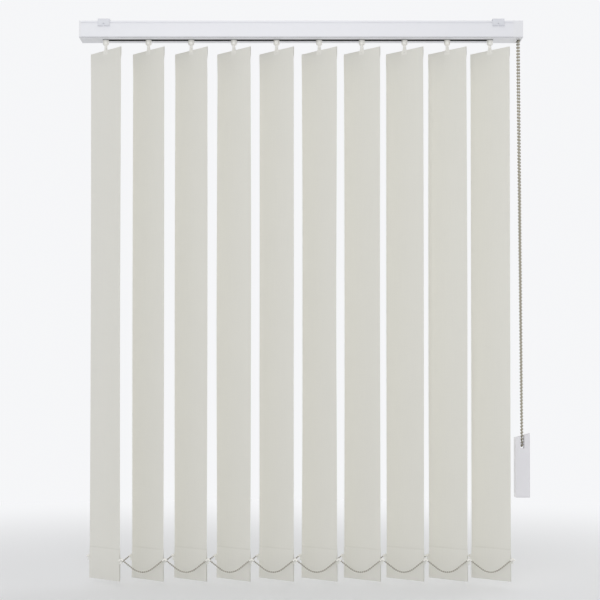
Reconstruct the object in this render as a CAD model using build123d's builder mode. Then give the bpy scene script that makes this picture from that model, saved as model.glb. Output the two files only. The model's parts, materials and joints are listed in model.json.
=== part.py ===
from build123d import *
import os
from math import acos, cos, degrees, hypot, radians, sin

# A vertical blind. X runs along the headrail to the control end, Y away from the room, Z up.
# The origin is midway between the two ceiling screws, on the top face of the brackets.

# Vane row: the pitch and the number of vanes set the length of everything above them.
vane_count = 10
vane_pitch = 80.0
vane_width = 89.0
vane_drop = 990.0
vane_gap = 19.0
vane_angle = 43.5
fabric_sheet = 0.4
fabric_ease = 0.1
idle_margin = 47.0
control_margin = 59.0

# Headrail: an aluminium channel with a slot along its underside.
rail_depth = 46.0
rail_height = 31.0
rail_wall = 1.5
rail_corner = 3.0
slot_width = 14.0
track_rib = 1.2
track_rib_height = 2.5
grip_depth = 0.8
grip_height = 2.4
grip_drop = 3.2

# Ceiling brackets: a folded spring strip that snaps over the rail's long edges.
bracket_sheet = 1.2
bracket_width = 22.0
bracket_inset = 46.0
bracket_screw_radius = 2.25
bracket_bend = 0.9
screw_head_room = 2.4
jaw_gap = 0.15
jaw_cover = 10.0
jaw_flare = 1.6
jaw_notch_width = 2.6
jaw_notch_height = 5.0
tooth_clearance = 0.25

# Carriers: moulded trucks that roll on the two lips of the slot.
carrier_length = 21.0
carrier_depth = 22.0
carrier_chamfer = 3.0
carrier_ride = 0.5
carrier_headroom = 7.0
neck_clearance = 1.0
neck_length = 10.5
roller_radius = 3.6
roller_width = 3.0
roller_gap = 0.4
roller_spread = 11.0
roller_clearance = 0.2
axle_radius = 1.2

# Tilt rod and chain wheel, on one axis behind the hook stems.
rod_radius = 3.0
rod_offset = 6.5
rod_clearance = 0.2
rod_end_gap = 4.0
flute_radius = 0.6
flute_count = 6
bearing_clearance = 0.05
seat_clearance = 0.02
bead_diameter = 4.5
wheel_chain_radius = 9.5
wheel_flange = 0.7
wheel_rim = 0.9
groove_clearance = 0.25
hub_radius = 5.0
hub_reach = 6.0

# End pieces: a plug and a slot filler each, and on the right the chamber of the chain wheel.
cap_plate = 3.0
plug_reach = 10.0
plug_wall = 2.0
plug_clearance = 0.15
boss_wall = 2.0
filler_rise = 1.0
carrier_stop_gap = 0.4
housing_length = 18.0
housing_wall = 1.5
chamber_clearance = 0.3
chamber_rim = 0.6
mouth_clearance = 0.6

# Hooks: a turned stem that hangs in its carrier, with a fork and a peg for the hanger.
stem_radius = 3.0
stem_head_radius = 4.6
stem_head = 1.6
stem_seat_gap = 0.1
collar_radius = 5.6
collar_height = 7.6
collar_gap = 0.5
neck_radius = 2.2
neck_taper = 2.6
fork_width = 5.0
fork_depth = 3.2
fork_shoulder = 4.0
fork_clearance = 0.15
fork_round = 1.2
peg_radius = 1.4
peg_seat_gap = 0.05

# Hangers: a flat bar in the vane's top pocket, with an eyed arch in a notch of the fabric.
hanger_sheet = 1.0
hanger_height = 14.0
hanger_inset = 2.5
hanger_round = 3.0
arch_radius = 5.5
eye_radius = 2.2
eye_drop = 2.0
notch_clearance = 1.0
notch_drop = 8.5
notch_round = 2.5
head_seam_drop = 21.0

# Bottom weights: a flat plate in the hem, with an ear and a clip pin past each edge of the fabric.
weight_sheet = 1.2
weight_height = 43.0
weight_inset = 3.0
weight_round = 4.0
hem_height = 59.0
ear_height = 7.0
ear_top_drop = 3.6
ear_reach = 5.4
clip_overhang = 3.6
clip_pin_radius = 0.9
clip_pin_height = 4.0
fold_share = 0.5

# Bottom chains: one along the room edges of the vanes and one along the window edges.
link_radius = 1.1
link_sides = 6
link_sag = 24.0
clip_ring_radius = 2.0
clip_ring_height = 2.6
clip_clearance = 0.08
clip_lift = 0.15
clip_arm = 3.6
clip_arm_radius = 1.2

# Control chain and the weight that keeps its loop straight.
chain_turn_radius = 4.5
chain_drop = 772.0
chain_lean = 5.0
bob_width = 28.0
bob_depth = 16.0
bob_height = 120.0
bob_head_slant = 8.0
bob_edge = 3.0
bob_heel_round = 3.0
bob_toe_round = 10.0
bob_head_round = 3.0
bob_mouth = 7.0
bob_rise = 20.0
bob_pocket_clearance = 1.5
bob_bar_clearance = 0.15

# Places that follow from the sizes above.
row_length = vane_pitch * (vane_count - 1)
rail_length = idle_margin + row_length + control_margin
rail_left = -rail_length / 2
rail_right = rail_length / 2
first_vane_x = rail_left + idle_margin
vane_places = [first_vane_x + vane_pitch * i for i in range(vane_count)]
rail_top_z = -bracket_sheet - screw_head_room
rail_bottom_z = rail_top_z - rail_height
rail_mid_z = rail_top_z - rail_height / 2
rail_floor_z = rail_bottom_z + rail_wall
rail_start = rail_left + cap_plate
rail_end = rail_right - housing_length
grip_z = rail_top_z - grip_drop - grip_height / 2
carrier_floor_z = rail_floor_z + track_rib_height + carrier_ride
carrier_top_z = rail_top_z - rail_wall - carrier_headroom
vane_top_z = rail_bottom_z - vane_gap
vane_bottom_z = vane_top_z - vane_drop
eye_z = vane_top_z - eye_drop
ear_top_z = vane_bottom_z + weight_height - ear_top_drop
clip_z = ear_top_z + clip_lift + clip_ring_height / 2
clip_reach = vane_width / 2 + clip_overhang
clip_shift_x = clip_reach * cos(radians(vane_angle))
clip_shift_y = clip_reach * sin(radians(vane_angle))
bead_radius = bead_diameter / 2
groove_radius = bead_radius + groove_clearance
wheel_width = 2 * (groove_radius + wheel_flange)
wheel_radius = wheel_chain_radius + wheel_rim
wheel_x = rail_right - housing_wall - chamber_clearance - wheel_width / 2
chamber_start = wheel_x - wheel_width / 2 - chamber_clearance
chamber_end = rail_right - housing_wall
chamber_radius = wheel_chain_radius + bead_radius + chamber_rim
bob_x = wheel_x + chain_lean
chain_turn_z = rail_mid_z - chain_drop
turned_about_z = (0, 0, -vane_angle)
overrun = 2.0


def save(piece, name):
    """Label a finished piece and write it as its own file."""
    piece.label = name
    export_step(piece, f"parts/{name}.step")


os.makedirs("parts", exist_ok=True)

# Outer section of the rail, shared with both end pieces: only the lower long edges are round.
with BuildSketch() as rail_outline:
    with Locations((0, rail_mid_z)):
        Rectangle(rail_depth, rail_height)
    fillet(rail_outline.vertices().group_by(Axis.Y)[0], rail_corner)

# Headrail: slot, two track ribs beside it, and a grip groove near the top of each long face.
with BuildPart() as headrail:
    with BuildSketch(Plane.YZ.offset(rail_start)):
        add(rail_outline.sketch_local)
        with Locations((0, rail_mid_z)):
            Rectangle(rail_depth - 2 * rail_wall, rail_height - 2 * rail_wall, mode=Mode.SUBTRACT)
        with Locations((0, rail_bottom_z + rail_wall / 2)):
            Rectangle(slot_width, rail_wall, mode=Mode.SUBTRACT)
        with Locations((-rail_depth / 2, grip_z), (rail_depth / 2, grip_z)):
            Rectangle(2 * grip_depth, grip_height, mode=Mode.SUBTRACT)
        rib_y = (slot_width + track_rib) / 2
        with Locations((-rib_y, rail_floor_z), (rib_y, rail_floor_z)):
            Rectangle(track_rib, track_rib_height, align=(Align.CENTER, Align.MIN))
    extrude(amount=rail_end - rail_start)
save(headrail.part, "headrail")

# One bracket: plate, two jaws with teeth in the grip grooves, and a flared, notched lip to press it off.
jaw_inner = rail_depth / 2 + jaw_gap
jaw_outer = jaw_inner + bracket_sheet
jaw_drop = jaw_cover - rail_top_z
tooth_reach = jaw_gap + grip_depth - tooth_clearance
tooth_height = grip_height - 2 * tooth_clearance
with BuildPart() as bracket:
    with BuildSketch(Plane.YZ.offset(-bracket_width / 2)) as strip:
        Rectangle(2 * jaw_outer, bracket_sheet, align=(Align.CENTER, Align.MAX))
        with Locations((jaw_outer, 0)):
            Rectangle(bracket_sheet, jaw_drop, align=(Align.MAX, Align.MAX))
        with Locations((jaw_inner, grip_z)):
            Rectangle(tooth_reach, tooth_height, align=(Align.MAX, Align.CENTER))
        with Locations((jaw_inner, -jaw_drop)):
            Rectangle(bracket_sheet + jaw_flare, bracket_sheet, align=(Align.MIN, Align.MIN))
        mirror(about=Plane.YZ)
        fillet(strip.vertices().group_by(Axis.Y)[-1], bracket_bend)
    extrude(amount=bracket_width)
    with BuildSketch(Plane.XZ):
        with Locations((0, -jaw_drop)):
            Rectangle(jaw_notch_width, jaw_notch_height, align=(Align.CENTER, Align.MIN))
    extrude(amount=jaw_outer + jaw_flare, both=True, mode=Mode.SUBTRACT)
    Hole(bracket_screw_radius)

bracket_x = rail_length / 2 - bracket_inset
with BuildPart() as ceiling_brackets:
    with Locations((-bracket_x, 0, 0), (bracket_x, 0, 0)):
        add(bracket.part)
save(ceiling_brackets.part, "ceiling_brackets")

# Section of the plugs that enter the rail, and of the fillers that close the slot's two ends.
plug_depth = rail_depth - 2 * rail_wall - 2 * plug_clearance
plug_floor_z = rail_floor_z + track_rib_height + plug_clearance
plug_height = rail_top_z - rail_wall - plug_clearance - plug_floor_z
filler_depth = slot_width - 2 * plug_clearance
with BuildSketch() as plug_section:
    with Locations((0, plug_floor_z)):
        Rectangle(plug_depth, plug_height, align=(Align.CENTER, Align.MIN))
with BuildSketch() as filler_section:
    with Locations((0, rail_bottom_z)):
        Rectangle(filler_depth, rail_wall + filler_rise, align=(Align.CENTER, Align.MIN))
idle_filler_end = vane_places[0] - neck_length / 2 - carrier_stop_gap
control_filler_end = vane_places[-1] + neck_length / 2 + carrier_stop_gap

# Idle end cap: face plate, hollow plug, bearing for the rod and slot filler.
with BuildPart() as idle_end_cap:
    with BuildSketch(Plane.YZ.offset(rail_left)):
        add(rail_outline.sketch_local)
    extrude(amount=cap_plate)
    with BuildSketch(Plane.YZ.offset(rail_start)):
        add(plug_section.sketch_local)
        offset(plug_section.sketch_local, amount=-plug_wall, mode=Mode.SUBTRACT)
        with Locations((rod_offset, rail_mid_z)):
            Circle(rod_radius + boss_wall)
    extrude(amount=plug_reach)
    with BuildSketch(Plane.YZ.offset(rail_start)):
        add(filler_section.sketch_local)
    extrude(amount=idle_filler_end - rail_start)
    with BuildSketch(Plane.YZ.offset(rail_start)):
        with Locations((rod_offset, rail_mid_z)):
            Circle(rod_radius + bearing_clearance)
    extrude(amount=plug_reach, mode=Mode.SUBTRACT)
save(idle_end_cap.part, "idle_end_cap")

# Control housing: the rail's section closed off, with a round chamber open to below for the chain.
with BuildPart() as control_housing:
    with BuildSketch(Plane.YZ.offset(rail_end)):
        add(rail_outline.sketch_local)
    extrude(amount=housing_length)
    with BuildSketch(Plane.YZ.offset(rail_end)):
        add(plug_section.sketch_local)
    extrude(amount=-plug_reach)
    with BuildSketch(Plane.YZ.offset(rail_end)):
        add(filler_section.sketch_local)
    extrude(amount=control_filler_end - rail_end)
    with BuildSketch(Plane.YZ.offset(chamber_start)):
        with Locations((rod_offset, rail_mid_z)):
            Circle(chamber_radius)
    extrude(amount=chamber_end - chamber_start, mode=Mode.SUBTRACT)
    mouth_width = bead_diameter + 2 * mouth_clearance
    with BuildSketch(Plane.XY.offset(rail_mid_z)):
        with Locations((wheel_x, rod_offset)):
            Rectangle(mouth_width, 2 * chamber_radius)
    extrude(amount=-rail_height, mode=Mode.SUBTRACT)
    with BuildSketch(Plane.YZ.offset(rail_end - plug_reach)):
        with Locations((rod_offset, rail_mid_z)):
            Circle(hub_radius + bearing_clearance)
    extrude(amount=plug_reach + chamber_start - rail_end, mode=Mode.SUBTRACT)
save(control_housing.part, "control_housing")

# Chain wheel: a grooved rim, and a hub that runs in the housing and carries the rod.
wheel_plane = Plane((wheel_x, rod_offset, rail_mid_z), x_dir=(1, 0, 0), z_dir=(0, -1, 0))
hub_left = chamber_start - wheel_x - hub_reach
half_wheel = wheel_width / 2
with BuildPart() as chain_wheel:
    with BuildSketch(wheel_plane):
        with BuildLine():
            Polyline(
                (-groove_radius, wheel_radius),
                (-half_wheel, wheel_radius),
                (-half_wheel, hub_radius),
                (hub_left, hub_radius),
                (hub_left, rod_radius + seat_clearance),
                (half_wheel, rod_radius + seat_clearance),
                (half_wheel, wheel_radius),
                (groove_radius, wheel_radius),
                (groove_radius, wheel_chain_radius),
            )
            ThreePointArc(
                (groove_radius, wheel_chain_radius),
                (0, wheel_chain_radius - groove_radius),
                (-groove_radius, wheel_chain_radius),
            )
            Line((-groove_radius, wheel_chain_radius), (-groove_radius, wheel_radius))
        make_face()
    revolve(axis=Axis((wheel_x, rod_offset, rail_mid_z), (1, 0, 0)))
save(chain_wheel.part, "chain_wheel")

# Tilt rod: fluted, from the idle bearing into the hub of the chain wheel.
rod_start = rail_start + rod_end_gap
with BuildPart() as tilt_rod:
    with BuildSketch(Plane.YZ.offset(rod_start)):
        with Locations((rod_offset, rail_mid_z)):
            Circle(rod_radius)
            with PolarLocations(rod_radius, flute_count):
                Circle(flute_radius, mode=Mode.SUBTRACT)
    extrude(amount=wheel_x + half_wheel - rod_start)
save(tilt_rod.part, "tilt_rod")

# Carrier: a truck with a neck in the slot, two rollers each side, and bores for stem and rod.
axle_z = rail_floor_z + roller_clearance + roller_radius
neck_depth = slot_width - 2 * neck_clearance
axle_places = [(-roller_spread / 2, axle_z), (roller_spread / 2, axle_z)]
with BuildPart() as carrier:
    with BuildSketch(Plane.YZ.offset(-carrier_length / 2)) as truck:
        with Locations((0, carrier_floor_z)):
            Rectangle(carrier_depth, carrier_top_z - carrier_floor_z, align=(Align.CENTER, Align.MIN))
        chamfer(truck.vertices().group_by(Axis.Y)[-1], carrier_chamfer)
    extrude(amount=carrier_length)
    with BuildSketch(Plane.YZ.offset(-neck_length / 2)):
        with Locations((0, rail_bottom_z)):
            Rectangle(neck_depth, carrier_floor_z - rail_bottom_z, align=(Align.CENTER, Align.MIN))
    extrude(amount=neck_length)
    with BuildSketch(Plane.XZ.offset(carrier_depth / 2)):
        with Locations(*axle_places):
            Circle(axle_radius)
    extrude(amount=roller_gap)
    with BuildSketch(Plane.XZ.offset(carrier_depth / 2 + roller_gap)):
        with Locations(*axle_places):
            Circle(roller_radius)
    extrude(amount=roller_width)
    mirror(about=Plane.XZ)
    with BuildSketch(Plane.YZ.offset(-carrier_length / 2)):
        with Locations((rod_offset, rail_mid_z)):
            Circle(rod_radius + rod_clearance)
    extrude(amount=carrier_length, mode=Mode.SUBTRACT)
    Hole(stem_radius + bearing_clearance)

# Hook: head on the carrier, stem, collar under the rail, neck, and a fork that takes the arch.
head_seat_z = carrier_top_z + stem_seat_gap
collar_top_z = rail_bottom_z - collar_gap
collar_bottom_z = collar_top_z - collar_height
fork_slot_z = eye_z + arch_radius + fork_clearance
fork_top_z = fork_slot_z + fork_shoulder
peg_z = eye_z + eye_radius - peg_radius - peg_seat_gap
fork_bottom_z = peg_z - peg_radius - fork_round
with BuildPart() as hook:
    with BuildSketch(Plane.XZ):
        with BuildLine():
            Polyline(
                (0, head_seat_z + stem_head),
                (stem_head_radius, head_seat_z + stem_head),
                (stem_head_radius, head_seat_z),
                (stem_radius, head_seat_z),
                (stem_radius, collar_top_z),
                (collar_radius, collar_top_z),
                (collar_radius, collar_bottom_z),
                (neck_radius, collar_bottom_z - neck_taper),
                (neck_radius, fork_slot_z),
                (0, fork_slot_z),
                close=True,
            )
        make_face()
    revolve(axis=Axis.Z)
    with BuildSketch(Plane.XZ) as prongs:
        with Locations((0, fork_bottom_z)):
            Rectangle(fork_width, fork_top_z - fork_bottom_z, align=(Align.CENTER, Align.MIN))
        fillet(prongs.vertices(), fork_round)
    extrude(amount=fork_depth / 2, both=True)
    with BuildSketch(Plane.XZ):
        with Locations((0, fork_bottom_z)):
            Rectangle(fork_width, fork_slot_z - fork_bottom_z, align=(Align.CENTER, Align.MIN))
    extrude(amount=hanger_sheet / 2 + fork_clearance, both=True, mode=Mode.SUBTRACT)
    with BuildSketch(Plane.XZ):
        with Locations((0, peg_z)):
            Circle(peg_radius)
    extrude(amount=fork_depth / 2, both=True)

# Hanger: the bar fills the pocket's width, and the arch stands up through the notch.
hanger_top_z = vane_top_z - fabric_sheet - fabric_ease
hanger_bottom_z = hanger_top_z - hanger_height
with BuildPart() as hanger:
    with BuildSketch(Plane.XZ) as blank:
        with Locations((0, hanger_bottom_z)):
            Rectangle(vane_width - 2 * hanger_inset, hanger_height, align=(Align.CENTER, Align.MIN))
        fillet(blank.vertices(), hanger_round)
        with Locations((0, eye_z)):
            Circle(arch_radius)
            Circle(eye_radius, mode=Mode.SUBTRACT)
    extrude(amount=hanger_sheet / 2, both=True)

# Vane: one strip of fabric, folded to a pocket at its top and to a deep hem at its bottom.
sheet_half = fabric_sheet / 2
head_half = hanger_sheet / 2 + fabric_ease + fabric_sheet
hem_half = weight_sheet / 2 + fabric_ease + fabric_sheet
weight_bottom_z = vane_bottom_z + fabric_sheet + fabric_ease
weight_top_z = vane_bottom_z + weight_height
head_seam_z = vane_top_z - head_seam_drop
hem_seam_z = vane_bottom_z + hem_height
with BuildPart() as vane:
    with BuildSketch(Plane.YZ.offset(-vane_width / 2)):
        with BuildLine():
            Polyline(
                (0, vane_top_z),
                (fold_share * head_half, vane_top_z),
                (head_half, vane_top_z - fold_share * head_half),
                (head_half, hanger_bottom_z),
                (sheet_half, head_seam_z),
                (sheet_half, hem_seam_z),
                (hem_half, weight_top_z),
                (hem_half, vane_bottom_z + fold_share * hem_half),
                (fold_share * hem_half, vane_bottom_z),
                (0, vane_bottom_z),
                close=True,
            )
        make_face()
        with BuildLine():
            Polyline(
                (0, hanger_top_z + fabric_ease),
                (head_half - fabric_sheet, hanger_top_z + fabric_ease),
                (head_half - fabric_sheet, hanger_bottom_z),
                (0, head_seam_z),
                close=True,
            )
        make_face(mode=Mode.SUBTRACT)
        with BuildLine():
            Polyline(
                (0, hem_seam_z),
                (hem_half - fabric_sheet, weight_top_z),
                (hem_half - fabric_sheet, weight_bottom_z - fabric_ease),
                (0, weight_bottom_z - fabric_ease),
                close=True,
            )
        make_face(mode=Mode.SUBTRACT)
        mirror(about=Plane.YZ)
    extrude(amount=vane_width)
    with BuildSketch(Plane.XZ) as notch:
        with Locations((0, vane_top_z + overrun)):
            Rectangle(
                2 * (arch_radius + notch_clearance),
                notch_drop + overrun,
                align=(Align.CENTER, Align.MAX),
            )
        fillet(notch.vertices().group_by(Axis.Y)[0], notch_round)
    extrude(amount=head_half + overrun, both=True, mode=Mode.SUBTRACT)

# Bottom weight: the plate stays inside the hem, and only its ears and clip pins show.
ear_end = vane_width / 2 + ear_reach
with BuildPart() as bottom_weight:
    with BuildSketch(Plane.XZ) as plate:
        with Locations((0, weight_bottom_z)):
            Rectangle(
                vane_width - 2 * weight_inset,
                weight_top_z - weight_bottom_z,
                align=(Align.CENTER, Align.MIN),
            )
        fillet(plate.vertices(), weight_round)
        with Locations((0, ear_top_z)):
            Rectangle(2 * ear_end, ear_height, align=(Align.CENTER, Align.MAX))
    extrude(amount=weight_sheet / 2, both=True)
    with BuildSketch(Plane.XY.offset(ear_top_z)):
        with Locations((-clip_reach, 0), (clip_reach, 0)):
            Circle(clip_pin_radius)
    extrude(amount=clip_pin_height)

# The row: each vane has its own carrier, hook, hanger and bottom weight.
for number, x in enumerate(vane_places, start=1):
    with BuildPart() as placed_carrier:
        with Locations((x, 0, 0)):
            add(carrier.part)
    save(placed_carrier.part, f"carrier_{number:02d}")
    for piece, name in ((hook, "hook"), (hanger, "hanger"), (vane, "vane"), (bottom_weight, "bottom_weight")):
        with BuildPart() as placed_piece:
            with Locations(Location((x, 0, 0), turned_about_z)):
                add(piece.part)
        save(placed_piece.part, f"{name}_{number:02d}")

# Bottom chains: sagging links from clip to clip, each clip a ring on its pin with two short arms.
for name, side in (("front_bottom_chain", -1), ("rear_bottom_chain", 1)):
    clip_places = [x - side * clip_shift_x for x in vane_places]
    chain_plane = Plane((0, side * clip_shift_y, 0), x_dir=(1, 0, 0), z_dir=(0, -1, 0))
    with BuildPart() as bottom_chain:
        for left, right in zip(clip_places, clip_places[1:]):
            start = (left + clip_arm, clip_z)
            lowest = ((left + right) / 2, clip_z - link_sag)
            end = (right - clip_arm, clip_z)
            with BuildLine(chain_plane) as span:
                ThreePointArc(start, lowest, end)
            with BuildSketch(Plane(span.line @ 0, z_dir=span.line % 0)):
                RegularPolygon(link_radius, link_sides)
            sweep(path=span.line)
        with BuildSketch(Plane.YZ.offset(clip_places[0] - clip_arm)):
            with Locations((side * clip_shift_y, clip_z)):
                RegularPolygon(clip_arm_radius, link_sides)
        arms = extrude(amount=2 * clip_arm)
        with Locations(*[(x - clip_places[0], 0, 0) for x in clip_places[1:]]):
            add(arms)
        with BuildSketch(Plane.XY.offset(clip_z - clip_ring_height / 2)):
            with Locations(*[(x, side * clip_shift_y) for x in clip_places]):
                Circle(clip_ring_radius)
        extrude(amount=clip_ring_height)
        with BuildSketch(Plane.XY.offset(clip_z - clip_ring_height)):
            with Locations(*[(x, side * clip_shift_y) for x in clip_places]):
                Circle(clip_pin_radius + clip_clearance)
        extrude(amount=2 * clip_ring_height, mode=Mode.SUBTRACT)
    save(bottom_chain.part, name)

# Control chain: an endless loop round the wheel and round the bar of its weight.
loop_length = hypot(chain_drop, chain_lean)
loop_plane = Plane(
    (wheel_x, rod_offset, rail_mid_z),
    x_dir=(0, 1, 0),
    z_dir=(chain_drop, 0, chain_lean),
)
contact = degrees(acos((wheel_chain_radius - chain_turn_radius) / loop_length))
with BuildPart() as control_chain:
    with BuildLine(loop_plane) as loop:
        over = CenterArc((0, 0), wheel_chain_radius, contact - 90, 360 - 2 * contact)
        under = CenterArc((0, -loop_length), chain_turn_radius, 270 - contact, 2 * contact)
        Line(over @ 1, under @ 0)
        Line(under @ 1, over @ 0)
    with BuildSketch(Plane(over @ 0, z_dir=over % 0)):
        Circle(bead_radius)
    sweep(path=loop.wire())
save(control_chain.part, "control_chain")

# Chain weight: a slim bob with a slanted head, where a bar in a pocket lies in the loop of the chain.
bob_top_z = chain_turn_z + bob_rise
bob_bottom_z = bob_top_z - bob_height
bob_pocket_z = chain_turn_z - chain_turn_radius - bead_radius - bob_pocket_clearance
bob_bar_radius = chain_turn_radius - bead_radius - bob_bar_clearance
bob_plane = Plane((bob_x, rod_offset, 0), x_dir=(1, 0, 0), z_dir=(0, -1, 0))
with BuildPart() as chain_weight:
    with BuildSketch(bob_plane) as bob_face:
        with BuildLine():
            Polyline(
                (-bob_width / 2, bob_bottom_z),
                (bob_width / 2, bob_bottom_z),
                (bob_width / 2, bob_top_z),
                (-bob_width / 2, bob_top_z - bob_head_slant),
                close=True,
            )
        make_face()
        foot = bob_face.vertices().group_by(Axis.Y)[0].sort_by(Axis.X)
        head = bob_face.vertices().group_by(Axis.Y)[1:]
        fillet(foot[0], bob_heel_round)
        fillet(foot[-1], bob_toe_round)
        fillet([corner for level in head for corner in level], bob_head_round)
    extrude(amount=bob_depth / 2, both=True)
    chamfer(chain_weight.faces().filter_by(Axis.Y).edges(), bob_edge / 2)
    with BuildSketch(bob_plane):
        with Locations((0, bob_pocket_z)):
            Rectangle(bob_mouth, bob_top_z - bob_pocket_z + overrun, align=(Align.CENTER, Align.MIN))
    extrude(amount=bob_depth / 2 + overrun, both=True, mode=Mode.SUBTRACT)
    with BuildSketch(Plane.YZ.offset(bob_x - bob_mouth / 2)):
        with Locations((rod_offset, chain_turn_z)):
            Circle(bob_bar_radius)
    extrude(amount=bob_mouth)
save(chain_weight.part, "chain_weight")
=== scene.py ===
# %% [markdown]
# # A vertical blind
# The blind is a slotted headrail with ten fabric vanes, which hang from hooks and turn together. Its
# rigid pieces come from the CAD frame and only get their finishes here. What is soft or strung is
# modelled in this lesson: the ten strips of fabric, the beaded control chain, and the two fine chains
# that link the hems, with their clips. Everything is in metres: X runs along the rail, Y away from the
# room, Z up.

# %% Load the frame
import json
import math
import random

import bmesh
import bpy
from mathutils import Matrix, Vector


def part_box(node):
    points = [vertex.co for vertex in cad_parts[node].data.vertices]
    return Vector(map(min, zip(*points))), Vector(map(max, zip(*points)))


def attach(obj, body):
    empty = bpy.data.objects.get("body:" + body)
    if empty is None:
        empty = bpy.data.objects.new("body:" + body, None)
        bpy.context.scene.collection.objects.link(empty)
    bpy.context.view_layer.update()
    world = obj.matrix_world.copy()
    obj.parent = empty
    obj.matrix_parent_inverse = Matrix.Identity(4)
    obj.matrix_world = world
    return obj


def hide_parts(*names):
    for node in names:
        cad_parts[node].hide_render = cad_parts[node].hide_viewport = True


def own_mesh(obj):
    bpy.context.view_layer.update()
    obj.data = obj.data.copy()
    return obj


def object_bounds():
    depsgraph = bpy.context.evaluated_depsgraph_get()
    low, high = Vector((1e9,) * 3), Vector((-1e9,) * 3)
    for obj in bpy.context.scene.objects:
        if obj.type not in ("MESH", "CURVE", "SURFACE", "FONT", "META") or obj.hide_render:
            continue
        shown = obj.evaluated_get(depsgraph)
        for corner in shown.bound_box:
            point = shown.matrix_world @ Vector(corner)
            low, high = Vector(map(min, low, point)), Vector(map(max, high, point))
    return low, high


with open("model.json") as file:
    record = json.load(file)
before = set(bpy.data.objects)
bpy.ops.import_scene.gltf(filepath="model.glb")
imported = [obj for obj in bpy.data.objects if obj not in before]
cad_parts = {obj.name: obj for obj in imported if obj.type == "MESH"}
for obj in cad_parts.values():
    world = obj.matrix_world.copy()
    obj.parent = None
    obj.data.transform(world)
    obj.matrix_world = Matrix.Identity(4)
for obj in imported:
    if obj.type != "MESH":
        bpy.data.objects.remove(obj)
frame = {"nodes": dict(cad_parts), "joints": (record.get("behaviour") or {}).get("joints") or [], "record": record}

MM = 0.001
cad_low, cad_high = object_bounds()
nodes = frame["nodes"]
hinges = {joint["name"]: Vector(joint["pos_m"]) for joint in frame["joints"] if joint["type"] == "hinge"}
pivots = {name[-2:]: place.x for name, place in sorted(hinges.items()) if name.startswith("tilt_")}
print("CAD nodes:", len(nodes), "vanes:", len(pivots), "lowest point:", round(cad_low.z, 4))

# %% [markdown]
# ## The camera
# In the photograph the vanes stand upright and the rail is seen from below, so the eye is under the
# middle of the blind and the camera is nearly level. A long lens from 2.6 m gives the small difference in
# size between the near and the far edge of a vane. Tilting the camera to frame the blind would make the
# vanes lean, so it looks up by one degree only and the rest of the framing is a shift of the lens, as on
# a view camera.

# %% Camera
EYE = (-0.002, -2.59, -0.702)
LOOK_UP = math.radians(1)
SENSOR = 36
LENS = 83.2
LENS_RISE = 0.12
camera_data = bpy.data.cameras.new("level_camera")
camera_data.sensor_width = SENSOR
camera_data.lens = LENS
camera_data.shift_y = LENS_RISE
camera = bpy.data.objects.new("level_camera", camera_data)
camera.location = EYE
camera.rotation_euler = (math.pi / 2 + LOOK_UP, 0, 0)
bpy.context.scene.collection.objects.link(camera)
bpy.context.scene.camera = camera
print("camera at", EYE, "lens", LENS)

# %% [markdown]
# ## Wiring a shader
# Every finish below is a node tree. It could be wired node by node, but a few small helpers keep it
# readable: one adds a node with its values and links, and the others are the single steps that come back
# all the time, such as arithmetic, a noise or a mix of two colours.


# %% Helpers for shader nodes
def add_node(tree, kind, links=(), **settings):
    """Add a shader node. A link gives a socket either another node's output or a plain value."""
    made = tree.nodes.new(kind)
    for key, value in settings.items():
        setattr(made, key, value)
    for place, source in links:
        if isinstance(source, bpy.types.NodeSocket):
            tree.links.new(source, made.inputs[place])
        else:
            made.inputs[place].default_value = source
    return made


def arithmetic(tree, operation, first, second=0.0):
    """The output of one Math node."""
    return add_node(tree, "ShaderNodeMath", [(0, first), (1, second)], operation=operation).outputs[0]


def swing(tree, value, depth):
    """A value from 0 to 1, turned into one that swings about zero."""
    return arithmetic(tree, "MULTIPLY", arithmetic(tree, "SUBTRACT", value, 0.5), depth)


def noise(tree, place, scale, detail):
    """The grey output of one Noise node."""
    links = [("Vector", place), ("Scale", scale), ("Detail", detail)]
    return add_node(tree, "ShaderNodeTexNoise", links).outputs["Fac"]


def mix(tree, amount, first, second, blend="MIX"):
    """The output of one Mix node for colours."""
    links = [(0, amount), (6, first), (7, second)]
    return add_node(tree, "ShaderNodeMix", links, data_type="RGBA", blend_type=blend).outputs[2]


def toned(tree, tone, shade):
    """A colour times a grey."""
    grey = add_node(tree, "ShaderNodeCombineColor", [(channel, shade) for channel in range(3)]).outputs[0]
    return mix(tree, 1.0, tone, grey, "MULTIPLY")


print("shader helpers ready")

# %% [markdown]
# ## A node group with named sockets
# An effect that several materials share is built once as a node group and placed in each of them with its
# own values, so a change to the grain or the weave reaches all of them. The group only gives out colours
# and values. The shader itself stays in the material.


# %% Helper that starts a group
def start_group(name, inputs, outputs):
    """A new node group with its sockets: inputs are (name, kind, value), outputs are (name, kind)."""
    group = bpy.data.node_groups.new(name, "ShaderNodeTree")
    for label, kind, value in inputs:
        socket = group.interface.new_socket(name=label, in_out="INPUT", socket_type=kind)
        socket.default_value = value
    for label, kind in outputs:
        group.interface.new_socket(name=label, in_out="OUTPUT", socket_type=kind)
    return group, group.nodes.new("NodeGroupInput").outputs, group.nodes.new("NodeGroupOutput").inputs


SURFACE_OUTPUTS = [
    ("Color", "NodeSocketColor"),
    ("Roughness", "NodeSocketFloat"),
    ("Height", "NodeSocketFloat"),
]
print("each group gives:", [label for label, kind in SURFACE_OUTPUTS])

# %% [markdown]
# ## Clouding and grain
# No white moulding is one even white. Light scatters a little differently where the plastic is thicker,
# paint pools, and hands leave a faint film. Two noises at different sizes give that clouding. A third,
# very fine one is the grain of the mould or the orange peel of paint, and it goes to the height and to
# the roughness.

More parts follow.
